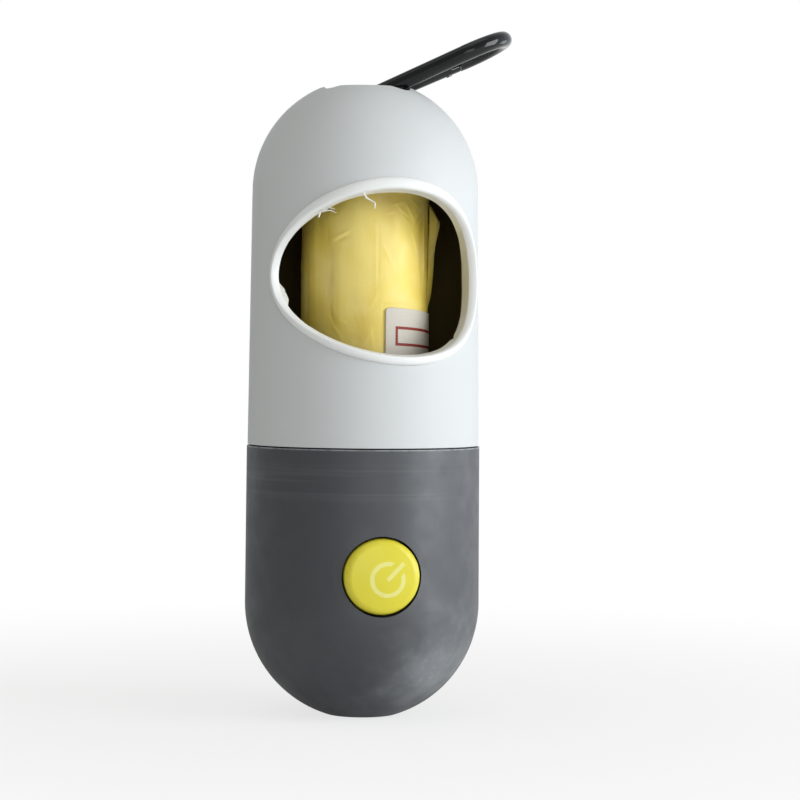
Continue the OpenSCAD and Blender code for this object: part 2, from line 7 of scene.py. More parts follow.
import bmesh
import bpy
import numpy as np
from mathutils import Matrix, Vector


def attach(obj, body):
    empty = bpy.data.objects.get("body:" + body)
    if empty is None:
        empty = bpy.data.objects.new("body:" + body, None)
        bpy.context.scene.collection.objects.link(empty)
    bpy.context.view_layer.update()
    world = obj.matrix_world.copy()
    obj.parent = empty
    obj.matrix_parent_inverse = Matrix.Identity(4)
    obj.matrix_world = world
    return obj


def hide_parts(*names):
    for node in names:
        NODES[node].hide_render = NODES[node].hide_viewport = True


bl_info = {
    "name": "Bag dispenser",
    "version": (1, 0, 0),
    "blender": (4, 5, 0),
    "location": "View3D > Sidebar > Dispenser",
    "description": "Finishes and soft pieces of a dog waste bag dispenser with a torch",
    "category": "Object",
}

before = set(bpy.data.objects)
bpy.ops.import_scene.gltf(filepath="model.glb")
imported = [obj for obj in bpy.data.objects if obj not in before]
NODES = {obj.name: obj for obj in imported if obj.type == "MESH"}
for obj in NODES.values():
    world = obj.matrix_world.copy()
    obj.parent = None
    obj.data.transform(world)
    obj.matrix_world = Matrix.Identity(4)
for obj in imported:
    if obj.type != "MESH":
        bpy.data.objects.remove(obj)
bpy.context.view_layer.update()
MM = 0.001

# The shells, as in the CAD source
DOME_R, DOME_Z = 22.3, 103.4
TOP_Z, TOP_WALL = 123.6, 2.1
SEAM_R, SEAM_TOP_Z = 22.9, 53.4
WALL = 1.8
INSIDE_R = 21.5  # between the inner and the outer face of the upper shell
# The mouth's egg, unrolled on the shell
MOUTH_X, MOUTH_Z = -1.0, 86.5
MOUTH_A, MOUTH_B = 23.5, 15.8
MOUTH_EGG, MOUTH_SKEW, MOUTH_DROOP, MOUTH_TILT = 0.26, 1.0, 0.6, math.radians(2)
LIP_OUT, LIP_TOP, LIP_LOW = 1.1, 0.6, 0.25  # width of its lip, then what top and bottom have more
# The roll of bags and its label
ROLL_R, ROLL_LOW, ROLL_HIGH, CORE_R = 12.7, 60.3, 114.3, 6.05
LABEL_LOW, LABEL_HIGH, LABEL_FROM, LABEL_TO = 60.8, 80.8, 9.0, 105.0
LABEL_UV = 20  # millimetres of the label in one unit of its UV map
# The outline printed on the label: distance from its sides, low and high line, half the stroke
PRINT_SIDE, PRINT_LOW, PRINT_HIGH, PRINT_STROKE = 2.4, 12.75, 16.05, 0.28
# The mark on the button: its middle, the ring's radius, half the stroke, the bar and half the gap
MARK_X, MARK_Z = 0.85, 28.55
MARK_R, MARK_STROKE, MARK_BAR, MARK_GAP = 3.02, 0.41, 4.4, 1.35
# Marks on the lower shell: a painted highlight on its edge under the seam, the flow lines and a painted
# highlight patch at the lower right, whose place is in metres
EDGE_LOW, EDGE_HIGH, EDGE_R = 52.75, 53.1, 22.0
FLOW_BAND = 42, 51
PAINTED_HIGHLIGHT_AT, PAINTED_HIGHLIGHT_R = (0.0122, -0.0165, 0.0095), 0.0165


# --- sizes and colours ---


def colour_prop(name, description, red, green, blue):
    return bpy.props.FloatVectorProperty(
        name=name, description=description, subtype="COLOR_GAMMA", size=3, min=0, max=1,
        default=(red / 255, green / 255, blue / 255))


def length_prop(name, description, default):
    return bpy.props.FloatProperty(
        name=name, description=description, default=default * MM, subtype="DISTANCE", unit="LENGTH")


class DispenserSizes(bpy.types.PropertyGroup):
    lip_round: length_prop("Lip rounding", "Height of the lip's bead above the shell", 1.0)
    fold_depth: length_prop("Fold depth", "Depth of the deepest folds in the bag film", 0.36)
    flap_reach: length_prop("Flap reach", "How far the film's loose end stands off the roll", 2.3)
    label_corner: length_prop("Label corner", "Rounding of the label's corners", 0.9)
    camera_distance: length_prop("Camera distance", "From the capsule's axis to the camera", 500)
    key_light: bpy.props.FloatProperty(name="Key light", description="Power of the soft light on the right",
                                       default=2.25, min=0, unit="POWER")
    sky: bpy.props.FloatProperty(name="Sky", description="Strength of the even light from all sides",
                                 default=0.37, min=0)


class DispenserColours(bpy.types.PropertyGroup):
    light_shell: colour_prop("Upper shell", "Light grey plastic of the bag half", 212, 214, 215)
    dark_shell: colour_prop("Lower shell", "Dark grey plastic of the torch half", 42, 45, 52)
    lip: colour_prop("Lip", "White lip round the mouth", 242, 243, 242)
    film: colour_prop("Bag film", "Thin yellow film of the bags", 249, 222, 86)
    # Painted shade for the valleys between the folds of the film
    film_valley_shade: colour_prop("Film folds", "Film where it lies doubled in the folds", 190, 146, 12)
    film_pale: colour_prop("Film haze", "Film where its haze is thickest", 252, 230, 142)
    label: colour_prop("Label", "Off-white paper of the label", 214, 206, 194)
    label_print: colour_prop("Label print", "Red line printed on the label", 142, 36, 20)
    button: colour_prop("Button", "Yellow plastic of the power button", 230, 217, 60)
    button_print: colour_prop("Button print", "Power mark on the button", 240, 234, 140)
    hook: colour_prop("Hook", "Black coating of the snap hook", 12, 13, 15)
    # Painted shade: the inner face of the upper shell, darkened to olive as it lies in shade
    inside: colour_prop("Compartment", "Dark inner face of the upper shell", 92, 78, 40)


def linear(colour):
    return tuple(c / 12.92 if c <= 0.04045 else ((c + 0.055) / 1.055) ** 2.4 for c in colour) + (1.0,)


def rgb(red, green, blue):
    return linear((red / 255, green / 255, blue / 255))


# --- node helpers ---


def put(tree, kind, inputs=None, **settings):
    """Adds a node, sets it and links or fills its inputs, which are named or numbered."""
    node = tree.nodes.new(kind)
    for key, value in settings.items():
        setattr(node, key, value)
    for key, value in (inputs or {}).items():
        if isinstance(value, bpy.types.NodeSocket):
            tree.links.new(value, node.inputs[key])
        else:
            node.inputs[key].default_value = value
    return node


def calc(tree, operation, a, b=0.0, c=0.0):
    return put(tree, "ShaderNodeMath", {0: a, 1: b, 2: c}, operation=operation).outputs[0]


def times(tree, *values):
    """The product of two or more values."""
    out = values[0]
    for value in values[1:]:
        out = calc(tree, "MULTIPLY", out, value)
    return out


def larger(tree, a, b):
    return calc(tree, "MAXIMUM", a, b)


def above(tree, value, limit):
    return calc(tree, "GREATER_THAN", value, limit)


def below(tree, value, limit):
    return calc(tree, "LESS_THAN", value, limit)


def apart(tree, a, b):
    return calc(tree, "ABSOLUTE", calc(tree, "SUBTRACT", a, b))


def split(tree, vector):
    return put(tree, "ShaderNodeSeparateXYZ", {0: vector}).outputs


def vector_calc(tree, operation, a, b=(0, 0, 0), out="Vector"):
    return put(tree, "ShaderNodeVectorMath", {0: a, 1: b}, operation=operation).outputs[out]


def stretch(tree, place, by):
    """Places multiplied axis by axis, so that a pattern on them is drawn out or pressed together."""
    return vector_calc(tree, "MULTIPLY", place, by)


def blend_colour(tree, factor, a, b, mode="MIX"):
    return put(tree, "ShaderNodeMix", {0: factor, 6: a, 7: b}, data_type="RGBA", blend_type=mode).outputs[2]


def spread(tree, value, low, high, to_low=0.0, to_high=1.0):
    """Maps a value from one range to another, smoothly and without leaving it."""
    return put(tree, "ShaderNodeMapRange", {0: value, 1: low, 2: high, 3: to_low, 4: to_high},
               interpolation_type="SMOOTHSTEP").outputs[0]


def noise(tree, place, scale, detail=2.0, rough=0.5):
    return put(tree, "ShaderNodeTexNoise", {"Vector": place, "Scale": scale, "Detail": detail,
                                            "Roughness": rough}).outputs["Fac"]


def new_group(name, inputs, outputs, kind="ShaderNodeTree"):
    tree = bpy.data.node_groups.new(name, kind)
    for label, socket, default in inputs:
        item = tree.interface.new_socket(label, in_out="INPUT", socket_type=socket)
        if default is not None:
            item.default_value = default
    for label, socket in outputs:
        tree.interface.new_socket(label, in_out="OUTPUT", socket_type=socket)
    return tree, tree.nodes.new("NodeGroupInput"), tree.nodes.new("NodeGroupOutput")


FLOAT, VECTOR = "NodeSocketFloat", "NodeSocketVector"


def mould_grain_group():
    """Fine grain that a spark-eroded mould leaves, with the slow change of tone of a large moulding."""
    tree, take, give = new_group(
        "mould_grain", [("Place", VECTOR, None), ("Grain size", FLOAT, 0.0004), ("Mottle", FLOAT, 0.05)],
        [("Height", FLOAT), ("Tone", FLOAT), ("Gloss", FLOAT)])
    place, size = take.outputs[0], take.outputs[1]
    fine = noise(tree, place, calc(tree, "DIVIDE", 1.0, size), 3.0, 0.6)
    slow = noise(tree, place, 55.0)
    patch = noise(tree, place, 240.0, 3.0)
    tone = calc(tree, "ADD", times(tree, slow, 0.7), times(tree, patch, 0.3))
    tone = calc(tree, "MULTIPLY_ADD", calc(tree, "SUBTRACT", tone, 0.5), take.outputs[2], 1.0)
    tree.links.new(fine, give.inputs[0])
    tree.links.new(tone, give.inputs[1])
    tree.links.new(spread(tree, patch, 0.3, 0.7, -0.05, 0.05), give.inputs[2])
    return tree


def hairlines_group():
    """Short hairline scratches that lie in one main direction."""
    tree, take, give = new_group(
        "hairlines", [("Place", VECTOR, None), ("Along", VECTOR, (1.0, 1.0, 0.06)), ("Amount", FLOAT, 0.5)],
        [("Mask", FLOAT)])
    place, along, amount = take.outputs[:3]
    lines = spread(tree, noise(tree, stretch(tree, place, along), 2600.0, 1.0), 0.66, 0.74)
    where = spread(tree, noise(tree, place, 130.0, 1.0), 0.52, 0.66)
    tree.links.new(times(tree, lines, where, amount), give.inputs[0])
    return tree


SHARED = {"mould_grain": mould_grain_group, "hairlines": hairlines_group}


def shared(tree, name, inputs):
    return put(tree, "ShaderNodeGroup", inputs,
               node_tree=bpy.data.node_groups.get(name) or SHARED[name]()).outputs


class Finish:
    """A material under way: its tree, its Object coordinates and its Principled shader."""

    def __init__(self, name, **constants):
        self.material = bpy.data.materials.new(name)
        self.material.use_nodes = True
        self.tree = self.material.node_tree
        self.shader = self.tree.nodes["Principled BSDF"]
        self.place = put(self.tree, "ShaderNodeTexCoord").outputs["Object"]
        for key, value in constants.items():
            self.shader.inputs[key.replace("_", " ")].default_value = value

    def feed(self, name, value):
        self.tree.links.new(value, self.shader.inputs[name])

    def fed(self, name):
        """What already feeds the shader's socket."""
        return self.shader.inputs[name].links[0].from_socket

    def cover(self, mask, colour, mode="MIX"):
        """Lays a colour over the base colour where the mask is 1."""
        self.feed("Base Color", blend_colour(self.tree, mask, self.fed("Base Color"), colour, mode))

    def noise(self, scale, detail=2.0, rough=0.5, by=None):
        """Noise on the Object coordinates, which may be stretched axis by axis."""
        place = stretch(self.tree, self.place, by) if by else self.place
        return noise(self.tree, place, scale, detail, rough)

    def bump(self, height, strength, distance):
        self.feed("Normal", put(self.tree, "ShaderNodeBump", {
            "Height": height, "Strength": strength, "Distance": distance}).outputs[0])


def tinted(tree, colour, tone):
    """The colour made lighter or darker by a tone near 1."""
    return put(tree, "ShaderNodeVectorMath", {0: colour, 3: tone}, operation="SCALE").outputs[0]


def moulded(name, colour, rough=0.5, grain=0.0004, depth=0.00003, mottle=0.08, scuffs=0.0, **constants):
    """Moulded plastic with grain, slow changes of tone and, where asked, hairline scuffs."""
    finish = Finish(name, **constants)
    tree = finish.tree
    out = shared(tree, "mould_grain", {"Place": finish.place, "Grain size": grain, "Mottle": mottle})
    base = tinted(tree, colour[:3], out["Tone"])
    gloss = calc(tree, "ADD", out["Gloss"], rough)
    if scuffs:
        mask = shared(tree, "hairlines", {"Place": finish.place, "Amount": scuffs})["Mask"]
        base = blend_colour(tree, mask, base, tuple(min(1, c * 1.6 + 0.03) for c in colour[:3]) + (1,))
        gloss = calc(tree, "MULTIPLY_ADD", mask, 0.2, gloss)
    finish.feed("Base Color", base)
    finish.feed("Roughness", gloss)
    finish.bump(out["Height"], 0.5, depth)
    return finish


def metal(name, colour, rough=0.3, along=(1.0, 1.0, 0.06), wear=0.5, grain=0.0006):
    """Plain or plated metal with drawing lines and a little unevenness."""
    finish = Finish(name, Metallic=1.0)
    tree = finish.tree
    lines = shared(tree, "hairlines", {"Place": finish.place, "Along": along, "Amount": wear})["Mask"]
    out = shared(tree, "mould_grain", {"Place": finish.place, "Grain size": grain, "Mottle": 0.15})
    finish.feed("Base Color", tinted(tree, colour[:3], out["Tone"]))
    gloss = calc(tree, "ADD", out["Gloss"], rough)
    finish.feed("Roughness", calc(tree, "MULTIPLY_ADD", lines, 0.25, gloss))
    finish.bump(lines, 0.3, 0.00002)
    return finish


# --- mesh helpers ---


def new_object(name, data):
    made = bpy.data.objects.new(name, data)
    bpy.context.scene.collection.objects.link(made)
    return made


def add_piece(name, points, faces, finish):
    """A mesh object from points in millimetres, already in its place."""
    mesh = bpy.data.meshes.new(name)
    mesh.from_pydata([tuple(p) for p in np.asarray(points, float) * MM], [], [tuple(f) for f in faces])
    mesh.polygons.foreach_set("use_smooth", [True] * len(mesh.polygons))
    mesh.materials.append(finish.material)
    mesh.update()
    piece = new_object(name, mesh)
    return piece


def grid_faces(rows, cols, closed=False):
    """Faces of a grid of points in rows, which face along rows x cols. A closed grid goes round both ways."""
    faces = []
    for i in range(rows if closed else rows - 1):
        for j in range(cols if closed else cols - 1):
            this, after, beside = i * cols, (i + 1) % rows * cols, (j + 1) % cols
            faces.append((this + j, this + beside, after + beside, after + j))
    return faces


def sheet_faces(rows, cols):
    """Faces of a closed thin sheet, given as the grid of one side and then the grid of the other."""
    n = rows * cols
    faces = grid_faces(rows, cols) + [tuple(reversed([i + n for i in f])) for f in grid_faces(rows, cols)]
    rim = ([(0, j) for j in range(cols)] + [(i, cols - 1) for i in range(1, rows)]
           + [(rows - 1, j) for j in range(cols - 2, -1, -1)] + [(i, 0) for i in range(rows - 2, 0, -1)])
    rim = [i * cols + j for i, j in rim]
    return faces + [(b, a, a + n, b + n) for a, b in zip(rim, rim[1:] + rim[:1])]


def line_object(name, points, closed, attributes):
    """A bare line of edges that a sweep tree follows, with vectors or numbers at its points."""
    mesh = bpy.data.meshes.new(name)
    count = len(points)
    edges = [(i, (i + 1) % count) for i in range(count if closed else count - 1)]
    mesh.from_pydata([tuple(p) for p in points], edges, [])
    for label, values in attributes.items():
        values = np.asarray(values, np.float32)
        kind, key = ("FLOAT_VECTOR", "vector") if values.ndim == 2 else ("FLOAT", "value")
        mesh.attributes.new(label, kind, "POINT").data.foreach_set(key, values.ravel())
    return new_object(name, mesh)


def end_tree(tree, geometry, material, give):
    """Smooth shading, real faces and the material, as the last nodes of a tree."""
    smooth = put(tree, "GeometryNodeSetShadeSmooth", {0: geometry}).outputs[0]
    real = put(tree, "GeometryNodeRealizeInstances", {0: smooth}).outputs[0]
    done = put(tree, "GeometryNodeSetMaterial", {"Geometry": real, "Material": material}).outputs[0]
    tree.links.new(done, give.inputs[0])
    return tree


def carried(tree, label, kind="FLOAT_VECTOR"):
    return put(tree, "GeometryNodeInputNamedAttribute", {"Name": label}, data_type=kind).outputs[0]


def sweep_tree():
    """Sweeps a section along a line. The line carries four vectors, and the section's X and Y, each
    with its sign, say how much of each vector is added to the line's point."""
    tree, take, give = new_group(
        "lip_sweep",
        [("Line", "NodeSocketGeometry", None), ("Section", "NodeSocketObject", None),
         ("Height", FLOAT, 1.0), ("Material", "NodeSocketMaterial", None)],
        [("Mesh", "NodeSocketGeometry")], "GeometryNodeTree")
    out = take.outputs

    def keep(geometry, label):
        return put(tree, "GeometryNodeStoreNamedAttribute", {
            "Geometry": geometry, "Name": label, "Value": put(tree, "GeometryNodeInputPosition").outputs[0]},
            data_type="FLOAT_VECTOR", domain="POINT").outputs[0]

    line = keep(put(tree, "GeometryNodeMeshToCurve", {0: out["Line"]}).outputs[0], "edge")
    shape = put(tree, "GeometryNodeObjectInfo", {"Object": out["Section"]}).outputs["Geometry"]
    shape = keep(put(tree, "GeometryNodeMeshToCurve", {0: shape}).outputs[0], "part")
    swept = put(tree, "GeometryNodeCurveToMesh", {"Curve": line, "Profile Curve": shape}).outputs[0]
    part = split(tree, carried(tree, "part"))
    place = carried(tree, "edge")
    for label, axis, sign in (("into", "X", 1), ("over", "X", -1), ("normal", "Y", 1), ("through", "Y", -1)):
        amount = larger(tree, times(tree, part[axis], float(sign)), 0.0)
        if label == "normal":
            amount = times(tree, amount, out["Height"])
        place = put(tree, "ShaderNodeVectorMath", {0: carried(tree, label), 1: amount, 2: place},
                    operation="MULTIPLY_ADD").outputs[0]
    placed = put(tree, "GeometryNodeSetPosition", {"Geometry": swept, "Position": place}).outputs[0]
    return end_tree(tree, placed, out["Material"], give)


def thread_tree():
    """Round threads along lines, each point with its own thickness."""
    tree, take, give = new_group(
        "round_threads",
        [("Lines", "NodeSocketGeometry", None), ("Radius", FLOAT, 0.0001), ("Sides", "NodeSocketInt", 8),
         ("Material", "NodeSocketMaterial", None)],
        [("Mesh", "NodeSocketGeometry")], "GeometryNodeTree")
    out = take.outputs
    thick = carried(tree, "thick", "FLOAT")
    line = put(tree, "GeometryNodeMeshToCurve", {0: out["Lines"]}).outputs[0]
    circle = put(tree, "GeometryNodeCurvePrimitiveCircle", {
        "Resolution": out["Sides"], "Radius": out["Radius"]}, mode="RADIUS").outputs[0]
    sized = put(tree, "GeometryNodeSetCurveRadius", {"Curve": line, "Radius": thick}).outputs[0]
    swept = put(tree, "GeometryNodeCurveToMesh", {
        "Curve": sized, "Profile Curve": circle, "Fill Caps": True})
    if "Scale" in swept.inputs:
        tree.links.new(thick, swept.inputs["Scale"])
    return end_tree(tree, swept.outputs[0], out["Material"], give)


TREES = {"lip_sweep": sweep_tree, "round_threads": thread_tree}

# What the lines carry for the trees alone
HELPERS = ("edge", "part", "into", "over", "normal", "through", "thick")


def grow(holder, tree_name, inputs):
    """Runs a Geometry Nodes tree on the holder and turns the result into the holder's plain mesh."""
    tree = bpy.data.node_groups.get(tree_name) or TREES[tree_name]()
    modifier = holder.modifiers.new(tree_name, "NODES")
    modifier.node_group = tree
    for item in tree.interface.items_tree:
        if item.item_type == "SOCKET" and item.in_out == "INPUT" and item.name in inputs:
            modifier[item.identifier] = inputs[item.name]
    bpy.context.view_layer.update()
    mesh = bpy.data.meshes.new_from_object(holder.evaluated_get(bpy.context.evaluated_depsgraph_get()))
    if not mesh.polygons:
        raise RuntimeError(f"{holder.name}: its tree made no faces")
    holder.modifiers.remove(modifier)
    for attribute in [a.name for a in mesh.attributes if a.name in HELPERS]:
        mesh.attributes.remove(mesh.attributes[attribute])
    holder.data = mesh
    face_outwards(mesh)
    return holder


def face_outwards(mesh):
    """Turns a closed mesh's faces outwards where its signed volume is negative."""
    shape = bmesh.new()
    shape.from_mesh(mesh)
    if shape.calc_volume(signed=True) < 0:
        mesh.flip_normals()
    shape.free()


def smoothstep(x):
    x = np.clip(x, 0, 1)
    return x * x * (3 - 2 * x)


def round_the_shell(turn, radius, z):
    """Point at an angle in degrees from the front, to the right, a radius and a height."""
    a = np.radians(turn)
    return np.stack([radius * np.sin(a), -radius * np.cos(a), z + 0 * a], -1)


def dress(finish, *names):
    """Gives CAD nodes their finish."""
    for name in names:
        materials = NODES[name].data.materials
        materials.clear()
        materials.append(finish.material)


class Maker:
    """What the operators share: a failure in making the pieces is raised, not hidden."""

    def execute(self, context):
        self.make(context.scene.dispenser_sizes, context.scene.dispenser_colours)
        return {"FINISHED"}


# --- shells ---


def light_shell_finish(colours):
    finish = moulded("light shell", linear(colours.light_shell), 0.55, 0.00035, 0.000025, 0.05,
                     Specular_IOR_Level=0.45)
    tree = finish.tree
    # Distance from the axis, or from the dome's centre above it
    from_dome = vector_calc(tree, "SUBTRACT", finish.place, (0, 0, DOME_Z * MM))
    reach = vector_calc(tree, "LENGTH", vector_calc(tree, "MAXIMUM", from_dome, (-1, -1, 0)), out="Value")
    low = below(tree, split(tree, finish.place)["Z"], (TOP_Z - TOP_WALL) * MM)
    # Painted shade: the inner face below the top's wall takes the dark olive colour
    finish.cover(times(tree, below(tree, reach, INSIDE_R * MM), low), linear(colours.inside))
    return finish


def dark_shell_finish(colours):
    finish = moulded("dark shell", linear(colours.dark_shell), 0.5, 0.0003, 0.00002, 0.12, 0.25,
                     Specular_IOR_Level=1.0)
    tree = finish.tree
    z = split(tree, finish.place)["Z"]
    # Painted highlight along the edge under the seam, broken up in places, and not on the neck within it
    edge_highlight_breaks = spread(tree, finish.noise(900.0, 3.0), 0.35, 0.6, 0.5)
    round_z = vector_calc(tree, "LENGTH", stretch(tree, finish.place, (1.0, 1.0, 0.0)), out="Value")
    edge = times(tree, spread(tree, z, EDGE_LOW * MM, EDGE_HIGH * MM), edge_highlight_breaks,
                 above(tree, round_z, EDGE_R * MM))
    # Faint flow lines below it
    low, high = FLOW_BAND
    bands = finish.noise(1.0, 1.0, by=(14.0, 14.0, 900.0))
    near = times(tree, spread(tree, z, low * MM, (low + 4) * MM), spread(tree, z, high * MM, (high - 3) * MM))
    flow = times(tree, spread(tree, bands, 0.5, 0.7, 0.0, 0.22), near)
    # Painted highlight: a broad light patch with specks at the lower right, a little less rough there
    away = vector_calc(tree, "DISTANCE", finish.place, PAINTED_HIGHLIGHT_AT, "Value")
    ragged = calc(tree, "SUBTRACT", finish.noise(120.0), 0.5)
    away = calc(tree, "MULTIPLY_ADD", ragged, 0.012, away)
    marks = spread(tree, finish.noise(700.0, 4.0, 0.7), 0.45, 0.75, 0.72)
    painted_highlight = times(tree, spread(tree, away, PAINTED_HIGHLIGHT_R, 0.001), marks)
    # The flow lines, with the painted highlights on the edge and at the lower right, all laid on in one light
    # grey
    flow_and_painted_highlights = larger(tree, times(tree, edge, 0.8), times(tree, flow, 0.3))
    flow_and_painted_highlights = larger(tree, flow_and_painted_highlights, times(tree, painted_highlight, 0.62))
    finish.cover(flow_and_painted_highlights, rgb(168, 173, 178))
    finish.feed("Roughness", calc(tree, "MULTIPLY_ADD", painted_highlight, -0.12, finish.fed("Roughness")))
    return finish


class DISPENSER_OT_shells(Maker, bpy.types.Operator):
    """Finish the two shells and the seal between them"""

    bl_idname = "dispenser.shells"
    bl_label = "Shells"

    def make(self, sizes, colours):
        dress(light_shell_finish(colours), "upper_shell")
        dress(dark_shell_finish(colours), "lower_shell")
        dress(moulded("seal rubber", rgb(24, 24, 24), 0.75, 0.0002), "seam_ring")


# --- mouth ---


def egg(t):
    """Middle line of the lip, unrolled: along the wall to the right, and up."""
    u = MOUTH_A * np.cos(t) + MOUTH_SKEW * np.cos(2 * t)
    v = MOUTH_B * np.sin(t) * (1 + MOUTH_EGG * np.cos(t)) - MOUTH_DROOP * np.cos(2 * t)
    c, s = math.cos(MOUTH_TILT), math.sin(MOUTH_TILT)
    return MOUTH_X + u * c + v * s, MOUTH_Z - u * s + v * c


def on_shell(along, z, off):
    """Point of the upper shell at a length along the wall and a height, off outside its surface."""
    turn = along / ((SEAM_R + DOME_R) / 2)
    rise = np.maximum(0, z - DOME_Z) / DOME_R
    low = DOME_R + (SEAM_R - DOME_R) * (DOME_Z - z) / (DOME_Z - SEAM_TOP_Z)
    r = np.where(z > DOME_Z, (DOME_R + off) * np.cos(rise), low + off)
    up = np.where(z > DOME_Z, DOME_Z + (DOME_R + off) * np.sin(rise), z)
    return np.stack([r * np.sin(turn), -r * np.cos(turn), up], -1)


# Section of the lip, round the edge of the cut. X: over the shell in widths of the lip, or into the
# mouth in mm. Y: out of the shell in heights of the bead, or along the cut in walls
LIP_SECTION = [
    (-1.0, 0.03), (-1.0, 0.2), (-0.93, 0.5), (-0.72, 0.8), (-0.38, 0.97), (0.0, 1.0), (0.27, 0.93),
    (0.48, 0.76), (0.62, 0.48), (0.68, 0.15), (0.7, -0.2), (0.8, -0.9), (0.94, -1.6), (1.04, -2.02),
    (1.0, -2.16), (0.82, -2.2), (0.35, -2.2), (0.1, -2.12), (0.06, -1.5), (0.05, -0.5),
    (0.03, -0.04), (-0.04, 0.03), (-0.5, 0.02)]

# Threads of flash at the top of the mouth: angle round the shell, height and thickness along each
WISPS = [
    [(-32.6, 97.2, 1.0), (-32.2, 98.2, 1.1), (-29.8, 98.4, 0.9), (-27.6, 99.05, 0.8), (-24.2, 98.7, 0.4)],
    [(-30.0, 98.35, 0.7), (-27.0, 98.5, 0.6), (-23.8, 98.0, 0.35)],
    [(-10.8, 102.0, 1.2), (-9.3, 100.9, 1.1), (-6.8, 100.35, 0.9), (-5.0, 99.9, 0.9), (-5.3, 98.8, 0.6)]]
WISP_R, WISP_THICK = 22.7, 0.16
# The flash that stands into the mouth, from one angle to another, and a nick in the lip's sleeve
FLASH_FROM, FLASH_TO, FLASH_REACH = 184, 217, 0.52
NICK_AT, NICK_DEPTH = 322, 0.16


def rounded(points, steps):
    """Closed Catmull-Rom curve through the points."""
    p = np.asarray(points, float)
    a, b, c, d = np.roll(p, 1, 0), p, np.roll(p, -1, 0), np.roll(p, -2, 0)
    out = []
    for k in range(steps):
        t = k / steps
        out.append(0.5 * (2 * b + (c - a) * t + (2 * a - 5 * b + 4 * c - d) * t**2
                          + (3 * b - a - 3 * c + d) * t**3))
    return np.stack(out, 1).reshape(-1, 2)


def lip_vectors(t, width):
    """The cut's edge, and for each of its points the four vectors that the lip's section is laid on."""
    step = 1e-3
    (a0, z0), (a1, z1) = egg(t - step), egg(t + step)
    along, z = egg(t)
    edge = on_shell(along, z, 0)
    run = np.hypot(a1 - a0, z1 - z0)
    over = on_shell(along + (z1 - z0) / run * width, z - (a1 - a0) / run * width, 0) - edge
    chord = on_shell(a1, z1, 0) - on_shell(a0, z0, 0)
    into = np.stack([-chord[:, 2], 0 * z, chord[:, 0]], 1) / np.hypot(chord[:, 0], chord[:, 2])[:, None]
    into = into * (1 - 0.4 * np.minimum(0, np.sin(t)) ** 2)[:, None]
    inner = np.hypot(edge[:, 0], edge[:, 1]) - WALL
    walls = (-edge[:, 1] - np.sqrt(np.maximum(0, inner**2 - edge[:, 0] ** 2))) / WALL
    degrees = np.degrees(t)
    flash = FLASH_REACH * smoothstep((degrees - FLASH_FROM) / 14) * smoothstep((FLASH_TO - degrees) / 9)
    nick = NICK_DEPTH * np.exp(-((degrees - NICK_AT) / 1.6) ** 2)
    flash = flash * (1 + 0.02 * np.sin(degrees * 0.9)) - nick
    flash = flash + 0.015 * np.sin(t * 9 + 1) + 0.006 * np.sin(t * 23)
    through = into * flash[:, None] + np.outer(np.clip(walls, 1, 3), (0, 1, 0))
    return edge, {"over": over, "normal": on_shell(along, z, 1) - edge, "into": into, "through": through}


class DISPENSER_OT_mouth_lip(Maker, bpy.types.Operator):
    """Sweep the white lip round the mouth, with the threads of flash that hang from it"""

    bl_idname = "dispenser.mouth_lip"
    bl_label = "Mouth lip"

    def make(self, sizes, colours):
        finish = moulded("lip", linear(colours.lip), 0.42, 0.0005, 0.00002, 0.04, 0.15).material
        t = np.linspace(0, 2 * math.pi, 360, endpoint=False)
        width = LIP_OUT + LIP_TOP * np.maximum(0, np.sin(t)) ** 2 + LIP_LOW * np.minimum(0, np.sin(t)) ** 2
        edge, vectors = lip_vectors(t, width)
        holder = line_object("mouth_lip", edge * MM, True, {k: v * MM for k, v in vectors.items()})
        section = np.pad(rounded(LIP_SECTION, 3), ((0, 0), (0, 1)))
        shape = line_object("lip_section", section, True, {})
        grow(holder, "lip_sweep", {"Section": shape, "Height": sizes.lip_round / MM, "Material": finish})
        bpy.data.objects.remove(shape)
        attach(holder, "bag_housing")
        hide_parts("mouth_rim")
        for i, wisp in enumerate(WISPS):
            turn, z, thick = np.array(wisp).T
            s = np.linspace(0, len(wisp) - 1, 6 * len(wisp))
            turn, z, thick = (np.interp(s, range(len(wisp)), v) for v in (turn, z, thick))
            line = round_the_shell(turn, WISP_R - 0.4 * np.sin(s), z)
            thread = line_object(f"lip_wisp_{i + 1}", line * MM, False, {"thick": thick})
            grow(thread, "round_threads", {"Radius": WISP_THICK * MM, "Sides": 7, "Material": finish})
            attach(thread, "bag_housing")


# --- roll of bags ---

